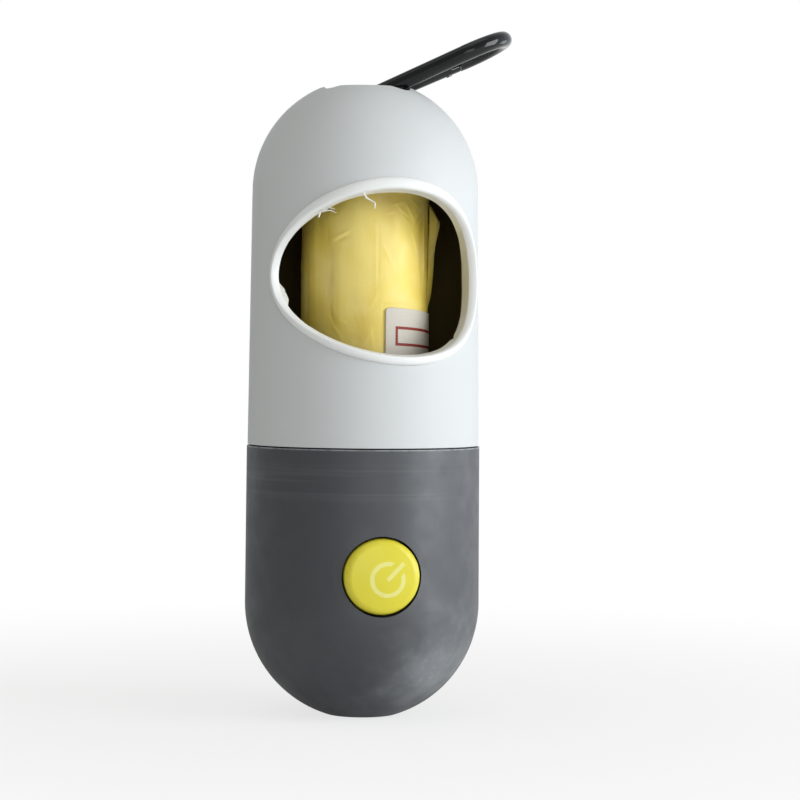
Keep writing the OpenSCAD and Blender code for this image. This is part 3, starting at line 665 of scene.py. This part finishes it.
# Folds of the film: angle and height at both ends, half width, and depth, less than 0 for a valley, at a
# fold depth of FOLD_UNIT. Random folds on the back and fine creases on the front join them
FOLDS = [
    (-41, 93.4, -21, 95.4, 0.4, 0.26), (-37, 93.0, -24, 94.2, 0.4, -0.22),
    (-42, 97.4, -26, 99.4, 0.9, 0.12), (-0.5, 99, 0.5, 79, 0.35, 0.05), (3, 98, 2.6, 84, 0.3, -0.04),
    (-41, 99, -40, 72, 1.5, -0.10), (-33, 97, -32, 70, 2.4, 0.09), (12, 100.1, 29, 100.8, 0.28, 0.2),
    (19, 100.2, 34, 97.7, 0.3, 0.2), (28, 101, 42, 97.0, 0.3, 0.22), (23, 99.4, 37, 96.8, 0.3, -0.16),
    (33, 101.6, 57, 99.0, 0.35, 0.2), (8, 98.3, 20, 98.9, 0.28, 0.16), (41, 96.6, 58, 99.7, 0.35, -0.14),
    (14, 103.4, 31, 102.4, 0.3, 0.2), (38, 95.4, 47, 90.0, 0.6, 0.12), (57, 101, 60, 84, 0.8, 0.16),
    (50, 97, 53, 84, 0.8, -0.1), (-46, 79.3, -27, 73.0, 0.5, 0.1), (-44, 82, -36, 75.5, 0.6, -0.09),
    (-35, 78, -24, 77, 0.4, 0.07), (-7, 79, 3, 83.6, 0.6, 0.07), (-12, 72, -3, 76, 0.5, 0.06),
    (-10, 112, -4, 101, 0.7, 0.16), (-62, 110, -58, 72, 1.8, 0.12), (-75, 100, -70, 64, 1.5, -0.14),
    (70, 108, 74, 70, 1.0, 0.16)]
FOLD_UNIT, BACK_FOLDS, FINE_CREASES = 0.28, 46, 60
ROLL_AROUND, ROLL_ROWS, END_LAYERS = 380, 150, 30  # points round the roll, rings, rings of an end
FLAP_BACK = 178  # angle at which the loose end comes off the roll


def film_height(turn, z, depth):
    """How far the film stands off its plain cylinder, from its folds and their finer creases."""
    s = np.radians(turn) * ROLL_R
    h = np.zeros(np.broadcast(turn, z).shape)
    draw = random.Random(7).uniform
    folds = list(FOLDS)
    for _ in range(BACK_FOLDS):
        a, low, reach = draw(80, 320), draw(60, 108), draw(5, 26)
        folds.append((a, low, a + draw(-9, 9), low + reach, draw(0.5, 1.6), draw(-0.2, 0.24)))
    for _ in range(FINE_CREASES):
        a, low = draw(-85, 80), draw(62, 112)
        folds.append((a, low, a + draw(-16, 16), low + draw(-5, 6), draw(0.25, 0.6), draw(-0.05, 0.09)))
    for a0, z0, a1, z1, width, size in folds:
        for shift in (0, 360):  # as seen from either side of the back, where the angle jumps
            s0, s1 = (math.radians(a - 360 + shift if a > 180 else a - shift) * ROLL_R for a in (a0, a1))
            ds, dz = s1 - s0, z1 - z0
            length = math.hypot(ds, dz)
            f = ((s - s0) * ds + (z - z0) * dz) / length**2
            side = ((s - s0) * dz - (z - z0) * ds) / length
            near = smoothstep(1.15 - np.abs(2 * f - 1))
            sharp = np.exp(-np.abs(side) / width) - 0.45 * np.exp(-((side / (2.4 * width)) ** 2))
            h += size / FOLD_UNIT * depth * near * sharp
    a = np.radians(turn)
    slow = 0.05 * np.sin(a * 3 + 0.16 * z) + 0.035 * np.sin(a * 7 - 0.1 * z + 1)
    return h + (slow + 0.022 * np.sin(a * 13 + 0.5 * z) * np.sin(0.31 * z - a * 5))


def roll_body(depth):
    """Closed tube with folds, layered ends and the core's hole, and the folds' height at each point."""
    # The points lie closer together where the mouth shows the roll
    turn = np.interp(range(ROLL_AROUND), (0, 58, 304, ROLL_AROUND), (-180, -75, 90, 180))[None, :]
    z = np.interp(range(ROLL_ROWS), (0, 18, 128, ROLL_ROWS - 1),
                  (ROLL_LOW + 0.12, 71, 104, ROLL_HIGH - 0.12))[:, None]
    h = film_height(turn, z, depth)
    under = (z < LABEL_HIGH + 0.6) * (turn > LABEL_FROM - 3) * (turn < LABEL_TO + 3)
    h = np.where(under, np.minimum(h * 0.15, 0.0), h)
    step = 0.1 * ((turn - 80) % 360) / 360
    radius = ROLL_R - 0.1 + np.clip(h, -0.3, 0.3) - step
    near_end = np.minimum(z - ROLL_LOW, ROLL_HIGH - z)
    radius = radius - 0.25 * np.exp(-near_end / 0.35)
    rings = [round_the_shell(turn[0], radius[i], z[i, 0]) for i in range(ROLL_ROWS)]
    rng = np.random.default_rng(5)
    ragged = np.cumsum(rng.normal(0, 0.05, END_LAYERS))
    wave = rng.normal(0, 1, (END_LAYERS, 6))
    outer = ROLL_R - 0.42

    def end_rings(z_end, sign, order):
        out = []
        for k in order:
            f = k / (END_LAYERS - 1)
            r = outer - (outer - CORE_R) * f
            a = np.radians(turn[0])
            wobble = sum(wave[k, m] * np.cos((m + 1) * a + m) for m in range(6)) * 0.02
            drop = 0.04 + (k % 2) * 0.16 + np.clip(ragged[k], -0.15, 0.15) * 0.5 + wobble + 0.12 * f
            out.append(round_the_shell(turn[0], r + 0.06 * wobble, z_end - sign * np.clip(drop, 0.0, 0.6)))
        return out

    inner = [round_the_shell(turn[0], CORE_R, z_k) for z_k in np.linspace(ROLL_HIGH - 0.6, ROLL_LOW + 0.6, 8)]
    top = end_rings(ROLL_HIGH, 1, range(END_LAYERS))
    low = end_rings(ROLL_LOW, -1, range(END_LAYERS - 1, -1, -1))
    rows = rings + top + inner + low
    fold = np.pad(h, ((0, len(rows) - ROLL_ROWS), (0, 0)))
    return np.stack(rows).reshape(-1, 3), grid_faces(len(rows), ROLL_AROUND, True), fold.ravel()


def loose_end(reach, first, z_low, z_tops, lifts, seed):
    """The film's outer end, torn at the top: it comes round from the back, bulges off the roll and lies on
    it again at its straight edge. First is the angle of that edge."""
    rows, cols = 44, 80
    rng = np.random.default_rng(seed)
    f = np.linspace(0, 1, cols) ** 1.5
    edge = first + np.cumsum(rng.normal(0, 0.14, rows))
    torn = np.cumsum(rng.normal(0, 0.09, cols))
    nominal = first + (FLAP_BACK - first) * f
    top = np.interp(nominal, *z_tops) + torn - np.linspace(0, torn[-1], cols)
    bulge = np.where(nominal < first + 13, 0.2 + 0.8 * smoothstep((nominal - first) / 13),
                     1 - smoothstep((nominal - first - 13) / 50))
    points = []
    for side in (0, 1):
        for i in range(rows):
            z = z_low + (top - z_low) * i / (rows - 1)
            turn = edge[i] + (FLAP_BACK - edge[i]) * f
            lift = np.interp(z, *lifts) * reach * bulge
            wave = 0.1 * np.sin(0.6 * z + 5 * f) * np.interp(z, *lifts) * bulge
            points.append(round_the_shell(turn, ROLL_R - 0.16 + 0.06 * side + lift + wave, z))
    return np.stack(points).reshape(-1, 3), sheet_faces(rows, cols)


def film_finish(colours):
    finish = Finish("bag film", Specular_IOR_Level=0.8)
    tree = finish.tree
    fold = put(tree, "ShaderNodeAttribute", attribute_name="fold").outputs["Fac"]
    creases = finish.noise(900.0, 3.0, 0.55, by=(1.0, 1.0, 0.25))
    fine = finish.noise(2600.0)
    soft = finish.noise(330.0, 3.0, 0.6)
    # Painted shade: darker, deeper yellow in the valleys between the folds; clouded with haze
    valley = spread(tree, fold, -0.0003, 0.0001)
    base = blend_colour(tree, valley, linear(colours.film_valley_shade), linear(colours.film))
    haze = spread(tree, finish.noise(110.0), 0.35, 0.65, 0.15, 0.6)
    finish.feed("Base Color", blend_colour(tree, haze, base, linear(colours.film_pale)))
    finish.feed("Roughness", spread(tree, creases, 0.3, 0.7, 0.48, 0.62))
    height = calc(tree, "MULTIPLY_ADD", fine, 0.25, creases)
    finish.bump(calc(tree, "MULTIPLY_ADD", soft, 2.2, height), 0.3, 0.00012)
    return finish


class DISPENSER_OT_bag_roll(Maker, bpy.types.Operator):
    """Make the roll of folded film, its layered ends and its loose torn end"""

    bl_idname = "dispenser.bag_roll"
    bl_label = "Bag roll"

    def make(self, sizes, colours):
        points, faces, fold = roll_body(sizes.fold_depth / MM)
        reach = sizes.flap_reach / MM
        # The torn part in the mouth, and the part above it that lies close to the roll
        torn = loose_end(
            reach, 68, 61.0, ((68, 71, 78, 100, FLAP_BACK), (100.8, 100.2, 97.8, 97.4, 99.5)),
            ((61, 80.5, 83, 88, 93, 97, 101), (0, 0, 0.26, 0.45, 0.62, 0.95, 1.0)), 3)
        close = loose_end(reach, 79, 101.5, ((79, FLAP_BACK), (113.6, 113.6)), ((101, 114), (0.1, 0.1)), 9)
        for more, more_faces in (torn, close):
            faces = faces + [tuple(i + len(points) for i in f) for f in more_faces]
            points = np.concatenate([points, more])
        roll = add_piece("bag_film_roll", points, faces, film_finish(colours))
        fold = np.pad(fold * MM, (0, len(points) - len(fold))).astype(np.float32)
        roll.data.attributes.new("fold", "FLOAT", "POINT").data.foreach_set("value", fold)
        face_outwards(roll.data)
        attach(roll, "bag_roll")
        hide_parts("bag_film")
        dress(self.card(), "roll_core")

    def card(self):
        finish = Finish("core card", Roughness=0.85)
        tree = finish.tree
        fibres = finish.noise(1900.0, 4.0, 0.7, by=(1.0, 1.0, 0.35))
        pale = spread(tree, fibres, 0.35, 0.65)
        finish.feed("Base Color", blend_colour(tree, pale, rgb(158, 128, 92), rgb(186, 158, 120)))
        finish.bump(fibres, 0.4, 0.00006)
        return finish


class DISPENSER_OT_roll_label(Maker, bpy.types.Operator):
    """Wrap the paper label with its printed outline round the roll"""

    bl_idname = "dispenser.roll_label"
    bl_label = "Roll label"

    def make(self, sizes, colours):
        corner = sizes.label_corner / MM
        rows, cols = 44, 90
        arc = math.radians(LABEL_TO - LABEL_FROM) * ROLL_R
        high = LABEL_HIGH - LABEL_LOW
        v = np.linspace(0, 1, rows)
        v = (v * 0.7 + 0.3 * smoothstep(v)) * high
        points, uv = [], []
        for radius in (ROLL_R + 0.03, ROLL_R + 0.13):
            for z in v:
                dip = corner - min(corner, z, high - z)
                inset = corner - math.sqrt(max(0.0, corner**2 - dip**2))
                x = inset + (arc - 2 * inset) * np.linspace(0, 1, cols)
                turn = LABEL_FROM + np.degrees(x / ROLL_R)
                drop = z / high * (0.3 + 1.3 * (1 - np.cos(np.radians(turn + 10))))
                curl = 0.05 * np.exp(-x / 0.6) * (radius > ROLL_R + 0.1)
                points.append(round_the_shell(turn, radius + curl, LABEL_LOW + z - drop))
                uv.append(np.stack([x, z + 0 * x], -1))
        points = np.stack(points).reshape(-1, 3)
        uv = np.stack(uv).reshape(-1, 2)
        label = add_piece("paper_label", points, sheet_faces(rows, cols), self.paper(colours, arc))
        layer = label.data.uv_layers.new(name="print")
        for loop in label.data.loops:
            layer.data[loop.index].uv = uv[loop.vertex_index] / LABEL_UV
        face_outwards(label.data)
        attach(label, "bag_roll")
        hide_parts("roll_label")

    def paper(self, colours, arc):
        finish = Finish("label paper", Roughness=0.6)
        tree = finish.tree
        spot = put(tree, "ShaderNodeUVMap", uv_map="print").outputs[0]
        u, v, _ = split(tree, stretch(tree, spot, (LABEL_UV, LABEL_UV, 0)))
        side, level = (PRINT_SIDE, arc - PRINT_SIDE), (PRINT_LOW, PRINT_HIGH)

        def on_lines(value, lines):
            return larger(tree, *(below(tree, apart(tree, value, at), PRINT_STROKE) for at in lines))

        def between(value, lines):
            return times(tree, above(tree, value, lines[0] - PRINT_STROKE),
                         below(tree, value, lines[1] + PRINT_STROKE))

        ink = larger(tree, times(tree, on_lines(v, level), between(u, side)),
                     times(tree, on_lines(u, side), between(v, level)))
        fibres = finish.noise(3000.0, 4.0, 0.7)
        base = tinted(tree, linear(colours.label)[:3], spread(tree, fibres, 0.3, 0.7, 0.95, 1.03))
        ink = times(tree, ink, spread(tree, fibres, 0.2, 0.5, 0.85))
        finish.feed("Base Color", blend_colour(tree, ink, base, linear(colours.label_print)))
        finish.bump(fibres, 0.25, 0.00003)
        return finish


# --- button ---


class DISPENSER_OT_power_button(Maker, bpy.types.Operator):
    """Finish the round button and print its power mark"""

    bl_idname = "dispenser.power_button"
    bl_label = "Power button"

    def make(self, sizes, colours):
        finish = moulded("button", linear(colours.button), 0.36, 0.0005, 0.000015, 0.05, 0.2)
        tree = finish.tree
        axes = split(tree, finish.place)
        x = calc(tree, "SUBTRACT", axes["X"], MARK_X * MM)
        z = calc(tree, "SUBTRACT", axes["Z"], MARK_Z * MM)
        ring, stroke, bar, gap = (v * MM for v in (MARK_R, MARK_STROKE, MARK_BAR, MARK_GAP))
        half = math.sqrt(0.5)
        length = calc(tree, "SQRT", calc(tree, "ADD", times(tree, x, x), times(tree, z, z)))
        along = times(tree, calc(tree, "ADD", x, z), half)
        aside = calc(tree, "ABSOLUTE", times(tree, calc(tree, "SUBTRACT", x, z), half))
        on_ring = below(tree, apart(tree, length, ring), stroke)
        gap = times(tree, above(tree, along, 0.0), below(tree, aside, gap))
        on_ring = times(tree, on_ring, calc(tree, "SUBTRACT", 1.0, gap))
        on_bar = times(tree, below(tree, aside, stroke),
                       above(tree, along, -0.1 * MM), below(tree, along, bar))
        worn = spread(tree, finish.noise(1200.0, 3.0), 0.3, 0.5, 0.75)
        mark = times(tree, larger(tree, on_ring, on_bar), worn)
        finish.cover(mark, linear(colours.button_print))
        dress(finish, "power_button")


# --- snap hook ---


class DISPENSER_OT_snap_hook(Maker, bpy.types.Operator):
    """Finish the snap hook, its gate, its rivet and its latch pin"""

    bl_idname = "dispenser.snap_hook"
    bl_label = "Snap hook"

    def make(self, sizes, colours):
        dress(moulded("hook coating", linear(colours.hook), 0.08, 0.0008, 0.000003, 0.2, 0.3,
                      Specular_IOR_Level=0.4), "carabiner_frame", "carabiner_gate")
        dress(metal("rivet steel", rgb(190, 191, 194), 0.25), "gate_rivet", "latch_pin")


# --- torch ---


class DISPENSER_OT_torch(Maker, bpy.types.Operator):
    """Finish the torch: lens, reflector, diode, board, switch, cells, wires, frame and cover"""

    bl_idname = "dispenser.torch"
    bl_label = "Torch"

    def make(self, sizes, colours):
        dress(moulded("inner plastic", rgb(42, 42, 44), 0.55, 0.0004, 0.00003, 0.12, 0.2),
              "torch_frame", "switch_body")
        dress(moulded("cover plastic", rgb(46, 46, 48), 0.5, 0.0005, 0.00004, 0.1, 0.3), "battery_cover")
        dress(metal("screw steel", rgb(176, 177, 180), 0.3, (0.2, 1.0, 1.0)), "frame_screws", "cover_screw")
        dress(metal("cell can", rgb(198, 199, 202), 0.28, (1.0, 1.0, 0.1), 0.6),
              "button_cell_1", "button_cell_2", "button_cell_3")
        dress(metal("spring wire", rgb(184, 185, 188)), "cell_spring")
        dress(metal("brass", rgb(206, 168, 92)), "cell_contact")
        dress(moulded("plunger plastic", rgb(228, 228, 222), 0.4), "switch_plunger")
        dress(moulded("red insulation", rgb(176, 28, 22), 0.35, 0.0006, 0.00002), "wire_red")
        dress(moulded("black insulation", rgb(30, 30, 31), 0.35, 0.0006, 0.00002), "wire_black")
        dress(moulded("bezel", rgb(58, 59, 62), 0.28, 0.0006, 0.00001, 0.08, 0.3), "lens_bezel")
        dress(metal("reflector", rgb(232, 233, 236), 0.08, wear=0.1), "reflector")
        dress(self.board(), "led_board")
        dress(self.clear("lens plastic", rgb(250, 251, 252), 1.49), "lens")
        dress(self.clear("diode resin", rgb(250, 244, 214), 1.53), "led")

    def board(self):
        finish = moulded("solder mask", rgb(24, 92, 54), 0.32, 0.0005, 0.00001, 0.1)
        weave = put(finish.tree, "ShaderNodeTexBrick", {
            "Vector": finish.place, "Scale": 1400.0, "Mortar Size": 0.08, "Color1": (1, 1, 1, 1),
            "Color2": (0.82, 0.82, 0.82, 1), "Mortar": (0.7, 0.7, 0.7, 1)}).outputs["Color"]
        finish.cover(0.5, weave, "MULTIPLY")
        return finish

    def clear(self, name, colour, ior):
        finish = Finish(name, Transmission_Weight=1.0, IOR=ior)
        tree = finish.tree
        marks = shared(tree, "hairlines", {
            "Place": finish.place, "Along": (0.1, 1.0, 1.0), "Amount": 0.6})["Mask"]
        finish.feed("Base Color", tinted(tree, colour[:3], spread(tree, marks, 0.0, 1.0, 1.0, 0.93)))
        finish.feed("Roughness", spread(tree, marks, 0.0, 1.0, 0.03, 0.2))
        return finish


# --- stage ---

FLOOR_HALF = 3.0  # half the floor's side, in metres
# The soft lights: name, place, aim, width and height in metres, and the share of the key light's power
LAMPS = (
    ("key_light", (0.46, -0.30, 0.18), (0, 0, 0.06), (0.34, 0.36), 1.0),
    ("top_light", (-0.12, -0.10, 0.75), (0, 0, 0.08), (0.5, 0.5), 0.23),
    ("front_light", (-0.06, -0.62, 0.17), (0, 0, 0.08), (0.3, 0.3), 0.23),
    ("edge_light", (0.485, 0.124, 0.0), (0, 0, 0.02), (0.2, 0.3), 0.2))
LAMP_COLOUR = (0.92, 0.967, 1.0)
MIRRORED_SKY = (0.84, 0.93, 1.0, 1)
# The camera: degrees round the capsule, down and askew, then its height and shift to the right in metres
CAMERA_TURN, CAMERA_DIP, CAMERA_ROLL = -10.6, 1.05, 0.5
CAMERA_HEIGHT, CAMERA_ASIDE, CAMERA_LENS = 0.0714, 0.00724, 113.4


def seen_white(tree, share):
    """1 for a ray from the camera or through something clear and the share for a mirrored one, then the
    mirrored share alone."""
    rays = put(tree, "ShaderNodeLightPath").outputs
    mirrored = times(tree, rays["Is Glossy Ray"], share)
    seen = larger(tree, rays["Is Camera Ray"], mirrored)
    return larger(tree, seen, rays["Is Transmission Ray"]), mirrored


class DISPENSER_OT_stage(Maker, bpy.types.Operator):
    """Lay the pale floor, hang the soft lights and aim the camera as in the photograph"""

    bl_idname = "dispenser.stage"
    bl_label = "Stage"

    def make(self, sizes, colours):
        bpy.context.scene.view_settings.view_transform = "Standard"
        self.floor()
        self.sky(sizes.sky)
        for name, place, aim, size, share in LAMPS:
            self.soft_light(name, place, aim, size, sizes.key_light * share)
        self.camera(sizes.camera_distance)

    def floor(self):
        mesh = bpy.data.meshes.new("floor")
        corners = [(x * FLOOR_HALF, y * FLOOR_HALF, 0) for x, y in ((-1, -1), (1, -1), (1, 1), (-1, 1))]
        mesh.from_pydata(corners, [], [(0, 1, 2, 3)])
        material = bpy.data.materials.new("pale paper")
        material.use_nodes = True
        tree = material.node_tree
        tree.nodes.remove(tree.nodes["Principled BSDF"])
        paper = put(tree, "ShaderNodeBsdfDiffuse", {"Color": (0.86, 0.86, 0.86, 1)}).outputs[0]
        bright = put(tree, "ShaderNodeEmission", {"Color": (1, 1, 1, 1), "Strength": 1.0}).outputs[0]
        spot = put(tree, "ShaderNodeTexCoord").outputs["Object"]
        # Brighter to the right, where it is mirrored, and away from the object, where it is seen
        seen, _ = seen_white(tree, spread(tree, split(tree, spot)["X"], -0.02, 0.06, 0.15))
        away = vector_calc(tree, "LENGTH", spot, out="Value")
        share = times(tree, seen, spread(tree, away, 0.03, 0.24, 0.74))
        mixed = put(tree, "ShaderNodeMixShader", {0: share, 1: paper, 2: bright})
        tree.links.new(mixed.outputs[0], tree.nodes["Material Output"].inputs[0])
        mesh.materials.append(material)
        floor = new_object("floor", mesh)

    def sky(self, strength):
        world = bpy.data.worlds.new("even sky")
        bpy.context.scene.world = world
        world.use_nodes = True
        tree = world.node_tree
        # What is mirrored fades to the left, to the front and overhead
        side = split(tree, put(tree, "ShaderNodeTexCoord").outputs["Generated"])
        lit_side = calc(tree, "MULTIPLY_ADD", side["Y"], 0.7, side["X"])
        seen, mirrored = seen_white(tree, times(tree, spread(tree, lit_side, -0.8, 0.7, 0.12),
                                                spread(tree, side["Z"], 0.1, 0.8, 1.0, 0.45)))
        ground = tree.nodes["Background"]
        tone = blend_colour(tree, seen, (1.0, 0.985, 0.925, 1), (1, 1, 1, 1))
        tree.links.new(blend_colour(tree, mirrored, tone, MIRRORED_SKY), ground.inputs["Color"])
        tree.links.new(spread(tree, seen, 0.0, 1.0, strength), ground.inputs["Strength"])

    def soft_light(self, name, place, aim, size, power):
        light = bpy.data.lights.new(name, "AREA")
        light.shape = "RECTANGLE"
        light.size, light.size_y = size
        light.energy = power
        light.color = LAMP_COLOUR
        lamp = new_object(name, light)
        lamp.location = place
        lamp.rotation_euler = (Vector(aim) - Vector(place)).to_track_quat("-Z", "Y").to_euler()

    def camera(self, distance):
        turn, dip, roll = (math.radians(v) for v in (CAMERA_TURN, CAMERA_DIP, CAMERA_ROLL))
        right = Vector((math.cos(turn), math.sin(turn), 0))
        ahead = Vector((-math.sin(turn) * math.cos(dip), math.cos(turn) * math.cos(dip), -math.sin(dip)))
        place = Vector((math.sin(turn), -math.cos(turn), 0)) * distance
        place += right * CAMERA_ASIDE + Vector((0, 0, CAMERA_HEIGHT))
        data = bpy.data.cameras.new("photo_camera")
        data.sensor_width, data.lens, data.clip_start = 36, CAMERA_LENS, 0.01
        camera = new_object("photo_camera", data)
        up = right.cross(ahead)
        basis = Matrix((right, up, -ahead)).transposed().to_4x4() @ Matrix.Rotation(roll, 4, "Z")
        camera.matrix_world = Matrix.Translation(place) @ basis
        bpy.context.scene.camera = camera


class DISPENSER_PT_panel(bpy.types.Panel):
    """Lists the pieces with their sizes and colours"""

    bl_label = "Bag dispenser"
    bl_space_type = "VIEW_3D"
    bl_region_type = "UI"
    bl_category = "Dispenser"

    def draw(self, context):
        for operator in OPERATORS:
            self.layout.operator(operator.bl_idname)
        for group in (context.scene.dispenser_sizes, context.scene.dispenser_colours):
            box = self.layout.box()
            for name in group.__annotations__:
                box.prop(group, name)


OPERATORS = (DISPENSER_OT_stage, DISPENSER_OT_shells, DISPENSER_OT_mouth_lip, DISPENSER_OT_bag_roll,
             DISPENSER_OT_roll_label, DISPENSER_OT_power_button, DISPENSER_OT_snap_hook, DISPENSER_OT_torch)
CLASSES = (DispenserSizes, DispenserColours, *OPERATORS, DISPENSER_PT_panel)


def register():
    for cls in CLASSES:
        bpy.utils.register_class(cls)
    bpy.types.Scene.dispenser_sizes = bpy.props.PointerProperty(type=DispenserSizes)
    bpy.types.Scene.dispenser_colours = bpy.props.PointerProperty(type=DispenserColours)


def unregister():
    del bpy.types.Scene.dispenser_sizes
    del bpy.types.Scene.dispenser_colours
    for cls in reversed(CLASSES):
        bpy.utils.unregister_class(cls)


def main():
    register()
    for operator in OPERATORS:
        space, name = operator.bl_idname.split(".")
        getattr(getattr(bpy.ops, space), name)()


if __name__ == "__main__":
    main()
